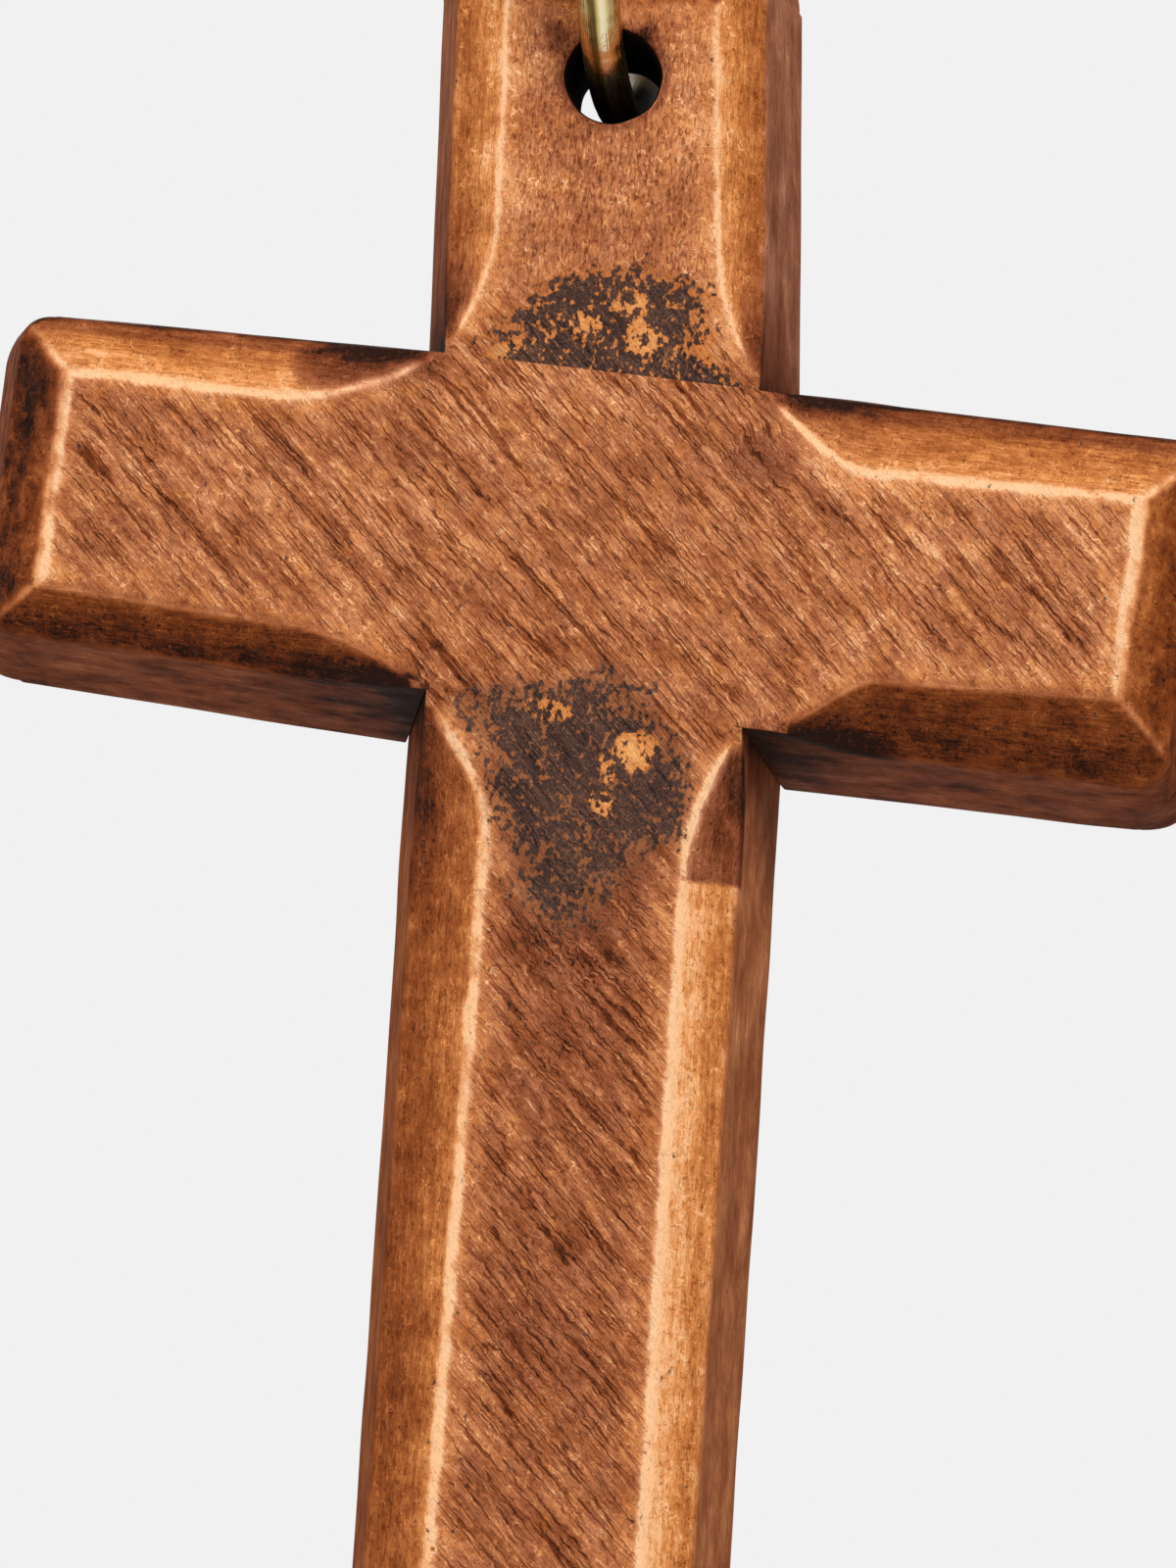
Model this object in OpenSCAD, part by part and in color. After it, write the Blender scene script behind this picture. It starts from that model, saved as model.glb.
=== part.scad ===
// A plain Latin cross pendant: two wooden bars halved into each other, hung on a wire ring.
// Lengths are millimetres and angles degrees. +Z is up, +X is to the right seen from the
// front, and the front faces -Y. The origin is the centre of the ring.

/* [Wood] */
// Thickness of both bars, front to back
thickness = 6; // [5:0.5:7]
// How far each long side leans in between the back and the front
side_lean = 1; // [0.4:0.1:1.4]
// How far each end leans in between the back and the front
end_lean = 1.3; // [0.4:0.1:1.6]
// Usual width of a chamfer, measured across the front face
chamfer_w = 1.5; // [0.8:0.1:1.8]
// Depth of a chamfer of the usual width
chamfer_depth = 1.1; // [0.6:0.1:1.6]
// Usual length over which a chamfer dies away towards the crossing
runout = 4; // [2:0.5:5]
// Width of the chamfer across each end
end_chamfer = 1.3; // [0.6:0.1:1.8]
// Radius of the corners at the ends of the bars, at the back
corner_r = 1.6; // [1:0.1:2.2]
// Width of the eased edge round the back
back_ease = 0.3; // [0.1:0.1:0.6]
// Width to which a sharp front edge is rubbed down
edge_ease = 0.1; // [0.05:0.05:0.2]

/* [Upright] */
// Length of the upright
upright_length = 50; // [44:1:60]
// Width of the upright at the back
upright_w = 10.4; // [9:0.2:12]
// Distance from the crossing's centre to the top end
top_arm = 17.2; // [16:0.2:19]

/* [Crossbar] */
// Length of the crossbar
crossbar_length = 34; // [30:0.5:38]
// Width of the crossbar at the back
crossbar_w = 11; // [9:0.2:12]
// Distance from the crossing's centre to the left end
left_arm = 17.1; // [15:0.1:18]
// Angle by which the right arm droops out of square
crossbar_tilt = 4.5; // [0:0.5:6]
// Gap left for glue in the halved joint
joint_gap = 0.02; // [0.01:0.01:0.05]

/* [Ring] */
// Diameter of the ring's wire
wire_d = 1.15; // [0.9:0.05:1.3]
// Radius of the ring, to the middle of its wire
ring_r = 6; // [5.6:0.2:8]
// Angle by which the ring lies turned in its hole
ring_turn = 5; // [0:1:6]
// Gap between the butted ends of the wire
ring_split = 0.08; // [0.04:0.02:0.2]
// Angle round the ring from its lowest point, by way of the back, to the butted ends
split_angle = 130; // [110:5:160]
// Room between the wire and the wall of its hole
ring_clearance = 0.15; // [0.1:0.05:0.25]
// Distance from the crossing's centre up to the hole
hole_height = 12.5; // [12:0.1:13]
// Distance from the upright's middle line to the hole, towards the left
hole_offset = 0.1; // [0:0.05:0.3]
// Width of the eased rim of the hole
rim_ease = 0.2; // [0.1:0.05:0.3]

/* [Hidden] */

// Overrun of a cut past the face that it goes through
overrun = 1;
// Steps in the run-out of a chamfer and in a rounded corner
runout_steps = 6;
corner_steps = 4;

// One row for each long edge of a bar, in the order right top, right bottom, left top and
// left bottom for the crossbar, and top left, top right, bottom left and bottom right for
// the upright. A row holds the chamfer's width beside the crossing and at the end, its
// run-out, the bar's half width at the end and the stretch left whole before the cut.
crossbar_edge_shares = [
    [1.27, 1.07, 0.83, 1.00, 0.00],
    [1.00, 1.33, 0.72, 0.98, 0.17],
    [1.07, 0.93, 1.07, 0.94, 0.00],
    [0.70, 0.80, 0.92, 0.92, 0.00]];
upright_edge_shares = [
    [0.80, 0.87, 0.90, 1.03, 0.00],
    [0.73, 0.80, 1.00, 0.89, 0.00],
    [1.23, 1.00, 0.95, 1.07, 0.00],
    [0.87, 0.80, 1.00, 0.92, 0.00]];
// How hollow each run-out is cut: 1 starts steeply, 2 starts and ends gently
crossbar_hollows = [1.3, 1.6, 1, 1];
upright_hollows = [1, 1, 1.3, 1];
// Which edges the droop of the crossbar lengthens, and which it shortens
crossbar_signs = [-1, 1, 1, -1];
upright_signs = [1, -1, -1, 1];
// Radius of an end's corner on the face and at the chamfer's outer edge
face_corner_share = 0.1;
arris_corner_share = 0.5;

// Half widths at the front, where nothing is chamfered
upright_front = upright_w / 2 - side_lean;
crossbar_front = crossbar_w / 2 - side_lean;
// Slope of every chamfer
chamfer_slope = chamfer_depth / chamfer_w;
lap_depth = thickness / 2;

// The wire bows by its sagitta inside the hole, and its turn carries it sideways
sagitta = ring_r - sqrt(ring_r * ring_r - lap_depth * lap_depth);
side_step = lap_depth * sin(ring_turn);
hole_r = sqrt(side_step * side_step + sagitta * sagitta / 4) + wire_d / 2 + ring_clearance;
hole_drop = ring_r - sagitta / 2;
// Place of the crossing's centre
crossing = [hole_offset, 0, -hole_drop - hole_height];

function mix(a, b, t) = a + (b - a) * t;
function clamp(t) = min(1, max(0, t));

// Distance from the crossing's centre at which an edge meets the other bar's edge
function edge_start(own, other, side) = (other + side * own * sin(crossbar_tilt)) / cos(crossbar_tilt);

// A bar is [arm lengths, half width, starts, edge rows, hollows]. It lies along X with its
// front at y = 0, and the arms are the one towards +X and the one towards -X.
function bar(arms, half, other, edges, hollows, signs) =
    [arms, half, [for (k = [0:3]) edge_start(half - side_lean, other, signs[k])], edges, hollows];
function edge_index(s, up) = (s < 0 ? 2 : 0) + (up > 0 ? 0 : 1);
function along(b, s, up) =
    let (k = edge_index(s, up), arm = s < 0 ? b[0][1] : b[0][0])
    clamp((abs(s) - b[2][k]) / (arm - b[2][k]));
// Half width of the back at distance s along the bar
function back_half(b, s, up) = b[1] * mix(1, b[3][edge_index(s, up)][3], along(b, s, up));
// Width of the chamfer there
function cut(b, s, up) =
    let (k = edge_index(s, up), row = b[3][k],
         t = clamp((abs(s) - b[2][k] - row[4] * runout) / (row[2] * runout)))
    max(edge_ease, chamfer_w * mix(row[0], row[1], along(b, s, up)) * pow(sin(90 * t), b[4][k]));
// How far a surface that leans in by lean has come in at a depth
function lean_in(lean, depth) = lean * (1 - depth / thickness);

// Depth, half width, end place and corner radius of an outline of the bar. Level 0 is the
// front face, 1 the chamfer's outer edge, 2 the side's back edge and 3 the back face.
function depth_at(level, width) =
    level == 0 ? 0 : level == 1 ? width * chamfer_slope : level == 2 ? thickness - back_ease : thickness;
function inset_at(level, width, lean) =
    level == 0 ? lean + width : level == 3 ? back_ease : lean_in(lean, depth_at(level, width));
function radius_at(level) =
    level == 0 ? corner_r * face_corner_share : level == 1 ? corner_r * arris_corner_share : corner_r;

function edge_point(b, level, s, up) =
    let (width = cut(b, s, up))
    [s, depth_at(level, width), up * (back_half(b, s, up) - inset_at(level, width, side_lean))];
function edge_places(b, up) = concat(
    [for (k = [runout_steps:-1:0])
        let (e = edge_index(-1, up)) -b[2][e] - runout * (b[3][e][4] + b[3][e][2] * k / runout_steps)],
    [for (k = [0:runout_steps])
        let (e = edge_index(1, up)) b[2][e] + runout * (b[3][e][4] + b[3][e][2] * k / runout_steps)]);
function corner_points(b, level, dir, up) =
    let (arm = dir > 0 ? b[0][0] : b[0][1], r = radius_at(level), s = dir * arm,
         width = cut(b, s, up),
         e = arm - inset_at(level, end_chamfer, end_lean),
         h = back_half(b, s, up) - inset_at(level, width, side_lean))
    [for (k = [0:corner_steps])
        let (a = 90 * k / corner_steps)
        [dir * (e - r + r * sin(a)),
         mix(depth_at(level, width), depth_at(level, end_chamfer), k / corner_steps),
         up * (h - r + r * cos(a))]];
function reversed(points) = [for (k = [len(points) - 1:-1:0]) points[k]];
function outline(b, level) = concat(
    [for (s = edge_places(b, 1)) edge_point(b, level, s, 1)],
    corner_points(b, level, 1, 1),
    reversed(corner_points(b, level, 1, -1)),
    [for (s = reversed(edge_places(b, -1))) edge_point(b, level, s, -1)],
    corner_points(b, level, -1, -1),
    reversed(corner_points(b, level, -1, 1)));

// A chamfered bar, as a skin over its four outlines from the front to the back
module chamfered_bar(b) {
    loops = [for (level = [0:3]) outline(b, level)];
    n = len(loops[0]);
    points = [for (loop = loops) each loop];
    walls = [for (level = [0:2], k = [0:n - 1])
        let (p = level * n + k, q = level * n + (k + 1) % n)
        each [[p, p + n, q], [q, p + n, q + n]]];
    front = [for (k = [0:n - 1]) k];
    back = [for (k = [n - 1:-1:0]) 3 * n + k];
    translate([0, -lap_depth, 0])
        polyhedron(points, concat(walls, [front, back]), convexity = 4);
}

module crossbar_place() {
    translate(crossing) rotate([0, crossbar_tilt, 0]) children();
}
module upright_place() {
    translate(crossing) rotate([0, -90, 0]) children();
}

// The front half of the joint, which the crossbar keeps and the upright gives up
module lap(gap) {
    crossbar_place()
        translate([-upright_w, -lap_depth - overrun, -crossbar_front - gap])
            cube([2 * upright_w, lap_depth + overrun + gap, 2 * (crossbar_front + gap)]);
}
// The upright's full section past the joint, which cuts the crossbar's shoulders
module upright_core() {
    front = upright_front + joint_gap;
    back = upright_w / 2 + joint_gap;
    reach = side_lean * overrun / thickness;
    translate(crossing)
        linear_extrude(height = 2 * crossbar_w, center = true)
            polygon([[-front + reach, -lap_depth - overrun], [front - reach, -lap_depth - overrun],
                     [back + reach, lap_depth + overrun], [-back - reach, lap_depth + overrun]]);
}

module ring_hole() {
    rim = hole_r + rim_ease;
    translate([0, 0, -hole_drop])
        rotate([90, 0, 0]) {
            cylinder(h = thickness + 2 * overrun, r = hole_r, center = true, $fn = 64);
            for (side = [0, 180])
                rotate([side, 0, 0])
                    translate([0, 0, lap_depth - rim_ease])
                        cylinder(h = rim_ease + overrun, r1 = hole_r, r2 = rim + overrun, $fn = 64);
        }
}

module upright() {
    b = bar([top_arm, upright_length - top_arm], upright_w / 2, crossbar_front,
            upright_edge_shares, upright_hollows, upright_signs);
    color("peru")
        difference() {
            upright_place() chamfered_bar(b);
            lap(joint_gap);
            ring_hole();
        }
}

module crossbar() {
    b = bar([crossbar_length - left_arm, left_arm], crossbar_w / 2, upright_front,
            crossbar_edge_shares, crossbar_hollows, crossbar_signs);
    color("chocolate")
        difference() {
            crossbar_place() chamfered_bar(b);
            difference() {
                upright_core();
                lap(0);
            }
        }
}

// The ring stands in the plane of the hole, turned a little, with its butted ends at the back
module ring() {
    split_turn = ring_split / ring_r * 180 / PI;
    color("darkgoldenrod")
        rotate([0, 0, -ring_turn])
            rotate([0, 90, 0])
                rotate([0, 0, split_angle + split_turn / 2])
                    rotate_extrude(angle = 360 - split_turn, $fn = 96)
                        translate([ring_r, 0])
                            circle(d = wire_d, $fn = 32);
}

upright();
crossbar();
ring();
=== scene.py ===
"""A plain Latin cross pendant on a brass ring: two worn, stained wooden bars halved into each other.

Sizes are in millimetres until a mesh is made, and Blender's objects are in metres. The CAD
model's frame holds the sizes, and each bar is rebuilt here as a fine mesh that fills it.
"""
import math

import bmesh
import bpy
import numpy as np
from mathutils import Matrix, Vector
from mathutils.geometry import delaunay_2d_cdt


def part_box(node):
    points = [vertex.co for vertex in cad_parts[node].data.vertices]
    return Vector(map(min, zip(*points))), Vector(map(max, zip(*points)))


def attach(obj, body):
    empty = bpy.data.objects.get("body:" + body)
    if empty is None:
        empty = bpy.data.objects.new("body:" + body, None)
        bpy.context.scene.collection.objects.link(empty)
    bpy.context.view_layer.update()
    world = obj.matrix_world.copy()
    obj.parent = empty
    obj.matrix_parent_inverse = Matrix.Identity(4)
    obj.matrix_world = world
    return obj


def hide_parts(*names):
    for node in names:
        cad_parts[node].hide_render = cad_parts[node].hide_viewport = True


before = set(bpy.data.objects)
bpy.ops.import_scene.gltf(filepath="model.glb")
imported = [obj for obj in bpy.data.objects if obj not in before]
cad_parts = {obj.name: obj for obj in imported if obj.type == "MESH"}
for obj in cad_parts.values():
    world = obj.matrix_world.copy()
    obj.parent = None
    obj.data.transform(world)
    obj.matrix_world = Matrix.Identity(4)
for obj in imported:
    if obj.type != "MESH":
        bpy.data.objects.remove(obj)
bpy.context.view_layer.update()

MM = 0.001

# Sizes of the bars, as in the CAD model
low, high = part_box("upright")
THICKNESS = (high.y - low.y) / MM
LAP_DEPTH = THICKNESS / 2
UPRIGHT_TOP = high.z / MM
UPRIGHT_BOTTOM = low.z / MM
UPRIGHT_W = 10.4
CROSSBAR_W = 11.0
TOP_ARM = 17.2
LEFT_ARM = 17.1
RIGHT_ARM = 16.9
TILT = math.radians(4.5)
SIDE_LEAN = 1.0
END_LEAN = 1.3
CHAMFER_W = 1.5
CHAMFER_SLOPE = 1.1 / 1.5
RUNOUT = 4.0
END_CHAMFER = 1.3
BACK_EASE = 0.3
EDGE_EASE = 0.02
CORNER_R = 1.6
ARRIS_CORNER_R = 0.8
JOINT_GAP = 0.02
SEAM_GAP = 0.005
TUCK = 0.5
# The upright's face is rubbed a little lower than the crossbar's beside the seams
SEAM_DROP = 0.05
# Slanting marks left by the saw and file over both faces
GROOVE_DEPTH = 0.02
GROOVE_TURN = math.radians(47)

# The ring and its hole
low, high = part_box("ring")
WIRE_D = 1.15
RING_R = (high.z - low.z) / MM / 2 - WIRE_D / 2
RING_TURN = math.radians(5)
SPLIT_ANGLE = math.radians(130)
SPLIT_GAP = 0.08
HOLE_HEIGHT = 12.5
HOLE_OFFSET = 0.1
HOLE_R = 1.2
RIM_EASE = 0.2
HOLE_RIM = HOLE_R + 0.15
END_EASE = 0.12
RING_CELLS = 360
WIRE_CELLS = 48
EASE_ROWS = 7

UPRIGHT_FRONT = UPRIGHT_W / 2 - SIDE_LEAN
CROSSBAR_FRONT = CROSSBAR_W / 2 - SIDE_LEAN
CROSSING = np.array([HOLE_OFFSET, 0, UPRIGHT_TOP - TOP_ARM])
# Slopes of the chamfers in plan, where the sides and ends lean out with the depth
SIDE_SLOPE = CHAMFER_SLOPE / (1 + SIDE_LEAN * CHAMFER_SLOPE / THICKNESS)
END_SLOPE = CHAMFER_SLOPE / (1 + END_LEAN * CHAMFER_SLOPE / THICKNESS)

# Depth below the front's surface past which a point belongs to the sides or the back
OFF_FRONT = 0.03

# Size of a cell, and the cells round half a corner, over a chamfer and down a side
CELL = 0.08
CORNER_CELLS = 10
CHAMFER_CELLS = 16
SIDE_CELLS = 18
BACK_CELLS = 4
BACK_CELL = 0.4
HOLE_CELLS = 96
FILLET_SHARE = 0.2
# How far each outline stops short of the arm's end, and its corner's radius
END_SHORT = (END_LEAN + END_CHAMFER, END_LEAN * (1 - CHAMFER_SLOPE * END_CHAMFER / THICKNESS),
             END_LEAN * BACK_EASE / THICKNESS, BACK_EASE)
CORNER = (CORNER_CELLS * CELL, ARRIS_CORNER_R, CORNER_R, CORNER_R)
# Rows at which a corner is rubbed down, how many rows it reaches and how often
ROUND_OVERS = ((CHAMFER_CELLS - 1, 3, 3), (CHAMFER_CELLS + SIDE_CELLS - 1, 2, 3))

# Rows as in the CAD model: chamfer width near the crossing and at the end, run-out, half
# width at the end and the stretch left whole, as shares of the usual sizes
CROSSBAR_EDGE_SHARES = np.array([
    [1.27, 1.07, 0.83, 1.00, 0.00],
    [1.00, 1.33, 0.72, 0.98, 0.17],
    [1.07, 0.93, 1.07, 0.94, 0.00],
    [0.70, 0.80, 0.92, 0.92, 0.00]])
UPRIGHT_EDGE_SHARES = np.array([
    [0.80, 0.87, 0.90, 1.03, 0.00],
    [0.73, 0.80, 1.00, 0.89, 0.00],
    [1.23, 1.00, 0.95, 1.07, 0.00],
    [0.87, 0.80, 1.00, 0.92, 0.00]])
CROSSBAR_HOLLOWS = np.array([1.3, 1.6, 1, 1])
UPRIGHT_HOLLOWS = np.array([1, 1, 1.3, 1])
CROSSBAR_SIGNS = np.array([-1, 1, 1, -1])
UPRIGHT_SIGNS = np.array([1, -1, -1, 1])

# Scorched patches, bare spots inside them and dark stains: x, z, half width, half height and
# strength of each spot. The dark spots beside the crossing's roots are painted shade as well as stain
UPPER_SCORCHES = ((-0.8, -13.0, 2.6, 2.6, 1.0), (1.5, -13.0, 2.4, 2.5, 0.9), (0.2, -14.7, 5.2, 1.9, 1.0),
                  (0.5, -11.7, 2.6, 1.6, 0.5))
LOWER_SCORCHES = ((-0.6, -24.2, 2.0, 2.3, 1.0), (1.7, -24.4, 1.7, 2.0, 0.7), (0.0, -26.2, 2.3, 2.2, 0.5),
                  (0.2, -25.4, 3.4, 5.0, 0.3), (0.8, -22.2, 1.7, 0.8, 0.45), (-1.7, -25.5, 1.3, 1.5, 0.55),
                  (-2.2, -22.8, 1.2, 0.8, 0.6), (2.6, -25.2, 0.9, 1.3, 0.6), (-0.6, -27.6, 1.8, 0.9, 0.3))
BARE_SPOTS = ((1.7, -23.6, 0.85, 0.6, 1.3), (0.5, -25.2, 0.5, 0.45, 0.9), (0.7, -24.2, 0.45, 0.45, 0.8),
              (-1.0, -22.9, 1.2, 0.3, 0.4), (0.9, -11.9, 0.9, 0.5, 0.8), (1.3, -12.9, 0.8, 0.6, 1.0),
              (-0.6, -13.9, 1.1, 0.25, 0.6), (-2.6, -13.2, 0.4, 0.4, 0.9), (3.2, -12.4, 0.5, 1.2, 0.6),
              (-0.7, -12.6, 0.5, 0.5, 0.8))
UPRIGHT_STAINS_AND_SHADE = ((-4.3, -12.4, 0.8, 2.2, 0.9), (-4.4, -25.0, 0.7, 3.4, 0.7), (4.4, -12.0, 0.6, 2.0, 0.5),
                  (0.8, -4.7, 0.5, 0.4, 1.2), (-1.9, -4.9, 0.35, 0.7, 1.2), (0.2, -27.2, 2.7, 3.6, 0.42),
                  (0, -31, 2.2, 3.5, 0.25), (0, -39, 2.0, 3, 0.2))
CROSSBAR_STAINS_AND_SHADE = ((-6.0, -13.6, 2.3, 1.2, 1.5), (-10.0, -12.1, 3.6, 0.7, 0.5), (6.2, -13.8, 2.8, 0.7, 0.6),
                   (6.0, -23.6, 2.6, 0.9, 0.8), (-6.0, -22.2, 2.8, 0.9, 0.8), (4.6, -15.6, 1.2, 1.2, 0.6),
                   (-14.5, -15.0, 1.2, 2.2, 0.4))
# Stains with crisp edges on the chamfers: low and high x, low and high z, strength
CRISP_STAINS = ((2.9, 5.3, -27.1, -23.3, 1.2), (-8.5, -6.2, -23.6, -21.9, 0.5))
# Paleness of each edge's chamfer, the wear and painted highlight of its arris, the side's paleness and how
# rosy the side is, by row and then by end. Besides the wood's own colour they hold painted shade: the
# crossbar's lower chamfers and left end are darker than its upper chamfers and right end, and the upright's
# left sides and lower left chamfer are darker than its right ones, away from the key light
CROSSBAR_TONES = np.array([
    [0.67, 1.05, 0.26, 0.0],
    [0.25, 0.80, 0.29, 0.0],
    [0.73, 1.05, 0.26, 0.0],
    [0.24, 0.80, 0.30, 0.0],
    [0.38, 1.30, 0.34, 0.1],
    [0.23, 1.38, 0.34, 0.1]])
UPRIGHT_TONES = np.array([
    [0.72, 0.85, 0.51, 0.3],
    [0.71, 0.85, 0.63, 0.9],
    [0.52, 1.20, 0.46, 0.0],
    [0.83, 1.10, 0.62, 0.4],
    [0.50, 0.20, 0.45, 0.2],
    [0.45, 0.80, 0.45, 0.2]])
BACK_TONE = 0.52
# Strength of the dirt at the rims and of the painted shade and dirt in the nooks, and how far the nooks'
# darkening spreads
RIM_STAIN = 0.6
NOOK_SHADE_AND_DIRT = 1.8
NOOK_REACH = 1.3


def mix(a, b, t):
    return a + (b - a) * t


def smoothstep(start, stop, x):
    t = np.clip((x - start) / (stop - start), 0, 1)
    return t * t * (3 - 2 * t)


def smooth_max(a, b, blend):
    """The larger of a and b, with a fillet where they are within blend of each other."""
    near = np.maximum(blend - np.abs(a - b), 0) / blend
    return np.maximum(a, b) + near * near * blend / 4


def value_noise(points, size, seed):
    """Smooth noise from 0 to 1 at points of any dimension, with lumps about size across."""
    points = np.asarray(points, float) / size
    cells = 32
    dims = points.shape[-1]
    table = np.random.default_rng(seed).random((cells,) * dims)
    base = np.floor(points).astype(int)
    f = points - base
    f = f * f * (3 - 2 * f)
    total = 0
    for corner in np.ndindex(*(2,) * dims):
        weight = np.prod(np.where(np.array(corner) == 1, f, 1 - f), -1)
        total = total + weight * table[tuple(np.moveaxis((base + corner) % cells, -1, 0))]
    return total


def lean_in(lean, depth):
    return lean * (1 - depth / THICKNESS)


def from_hole(s, t):
    """Steps along and across the upright from the hole's axis, and the distance from it."""
    along, across = s - HOLE_HEIGHT, t - HOLE_OFFSET
    return along, across, np.hypot(along, across)


class Bar:
    """One bar in its own frame: s runs along it, t across it and d in from its front face.

    Its mesh is a grid of stations along and columns across on the front face, with rows of
    cells from the face's edge over the chamfers and down the sides to the back.
    """

    def __init__(self, arms, width, other_front, edges, hollows, signs, axes):
        self.arms = arms
        self.half = width / 2
        self.edges = edges
        self.hollows = hollows
        self.starts = (other_front + signs * (self.half - SIDE_LEAN) * math.sin(TILT)) / math.cos(TILT)
        self.axes = np.array(axes, float)

    def lay_out(self, columns, joint_cells, joint, shape_joint):
        """Seven spans of stations: corner, arm, wall of the joint, joint, wall, arm, corner."""
        self.columns = columns
        self.joint = joint
        self.shape_joint = shape_joint
        inner = END_LEAN + END_CHAMFER + CORNER_CELLS * CELL + self.starts.mean()
        plus, minus = [round((arm - inner) / CELL) for arm in self.arms]
        spans = [CORNER_CELLS, minus, 1, joint_cells, 1, plus, CORNER_CELLS]
        self.stations = sum(spans) + 1
        self.span = np.append(np.repeat(np.arange(7), spans), 6)
        self.fraction = np.concatenate([np.arange(n) / n for n in spans] + [[1.0]])
        self.walls = np.cumsum(spans)[1:5]
        self.joint_share = np.clip((np.arange(self.stations) - self.walls[1]) / joint_cells, 0, 1)

    def row(self, s, t):
        """Which of the four edge rows a place belongs to."""
        return np.where(s < 0, 2, 0) + np.where(t > 0, 0, 1)

    def arm(self, s):
        return np.where(s < 0, self.arms[1], self.arms[0])

    def share(self, s, t):
        """How far along its arm a place is, from 0 at the crossing to 1 at the end."""
        start = self.starts[self.row(s, t)]
        return np.clip((np.abs(s) - start) / (self.arm(s) - start), 0, 1)

    def back_half(self, s, t):
        return self.half * mix(1, self.edges[self.row(s, t), 3], self.share(s, t))

    def cut(self, s, t):
        """Width of the chamfer across the front."""
        k = self.row(s, t)
        near, far, run, _, hold = np.moveaxis(self.edges[k], -1, 0)
        turn = np.clip((np.abs(s) - self.starts[k] - hold * RUNOUT) / (run * RUNOUT), 0, 1)
        width = CHAMFER_W * mix(near, far, self.share(s, t)) * np.sin(turn * math.pi / 2) ** self.hollows[k]
        return np.maximum(EDGE_EASE, width)

    def past_face(self, s, t):
        """Distances past the inner arris of the long chamfer and of the end's chamfer."""
        side = np.abs(t) - (self.back_half(s, t) - SIDE_LEAN - self.cut(s, t))
        end = np.abs(s) - (self.arm(s) - END_LEAN - END_CHAMFER)
        return side, end

    def front_depth(self, s, t):
        """Depth of the front: the face, its chamfers and the worn fillets between them."""
        side, end = self.past_face(s, t)
        rubbed = mix(0.6, 1.4, value_noise(s[..., None], 3, 5))
        fillet = np.clip(FILLET_SHARE * self.cut(s, t), 0.01, 0.3) * rubbed
        slopes = smooth_max(side * SIDE_SLOPE, end * END_SLOPE, fillet)
        return smooth_max(slopes, 0 * s, fillet)

    def place_stations(self, t, d, short, corner):
        """Distance along the bar of each station, on a line that ends short of the arms."""
        low_joint, high_joint = self.joint(-1, t, d), self.joint(1, t, d)
        low_end, high_end = short - self.arms[1] + 0 * t, self.arms[0] - short + 0 * t
        marks = np.stack([low_end, low_end + corner, low_joint, low_joint, high_joint, high_joint,
                          high_end - corner, high_end])
        rows = np.arange(self.stations)
        return mix(marks[self.span, rows], marks[self.span + 1, rows], self.fraction)

    def side_line(self, level, up):
        """Points of an outline's side at every station, with sharp corners.

        Level 0 is the face, 1 the chamfers' outer arris, 2 the sides' back edge, 3 the back.
        """
        t = np.full(self.stations, up * self.half)
        s = 0 * t
        for _ in range(4):
            width = self.cut(s, t)
            d = (0 * t, CHAMFER_SLOPE * width, 0 * t + THICKNESS - BACK_EASE, 0 * t + THICKNESS)[level]
            inset = (SIDE_LEAN + width, lean_in(SIDE_LEAN, d), lean_in(SIDE_LEAN, d), BACK_EASE)[level]
            t = up * (self.back_half(s, t) - inset)
            s = self.place_stations(t, d, END_SHORT[level], CORNER[level])
        return np.stack([s, t, d], -1)

    def outline(self, level):
        """The closed loop of an outline, in the order of loop_of, with rounded corners."""
        upper, lower = self.side_line(level, 1), self.side_line(level, -1)
        ends = []
        for sign, pick in ((-1, 0), (1, -1)):
            corner, end = CORNER[level], lower[pick, 0]
            bottom, top = lower[pick, 1], upper[pick, 1]
            t = self.across(np.array([bottom, bottom + corner, top - corner, top]))
            points = np.stack([0 * t + end, t, 0 * t + mix(lower[pick, 2], upper[pick, 2], 0.5)], -1)
            if level > 0:
                for line, edge, up, part in ((lower, bottom, -1, slice(0, CORNER_CELLS + 1)),
                                             (upper, top, 1, slice(-1, -CORNER_CELLS - 2, -1))):
                    step = np.arange(CORNER_CELLS + 1) / CORNER_CELLS
                    beside = line[::sign][:-CORNER_CELLS - 2:-1]
                    for target, turn in ((beside, 1 - step), (points[part], 1 + step)):
                        angle = turn * math.pi / 4
                        target[:, 0] = end - sign * corner * (1 - np.sin(angle))
                        target[:, 1] = edge - up * corner * (1 - np.cos(angle))
            ends.append(points)
        return self.loop_of(upper, ends[1], lower, ends[0])

    @staticmethod
    def loop_of(upper, plus_end, lower, minus_end):
        """Joins four sides, each from low to high s or t, into one closed loop."""
        return np.concatenate([upper, plus_end[-2::-1], lower[-2::-1], minus_end[1:-1]])

    def across(self, marks):
        """Columns across the face, with cells of the usual size beside both edges."""
        cells = (CORNER_CELLS, self.columns - 2 * CORNER_CELLS, CORNER_CELLS)
        parts = [mix(marks[k][..., None], marks[k + 1][..., None], np.arange(n) / n)
                 for k, n in enumerate(cells)]
        return np.concatenate(parts + [marks[3][..., None]], -1)

    def face_grid(self):
        """Points of the front face, by station and column."""
        upper, lower = self.side_line(0, 1)[:, 1], self.side_line(0, -1)[:, 1]
        t = self.across(np.stack([lower, lower + CORNER[0], upper - CORNER[0], upper]))
        s = np.stack([self.place_stations(column, 0 * column, END_SHORT[0], CORNER[0])
                      for column in t.T], -1)
        grid = np.stack([s, t, self.front_depth(s, t)], -1)
        stations = np.broadcast_to(np.arange(self.stations)[:, None], s.shape)
        return self.in_joint(grid, stations)

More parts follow.
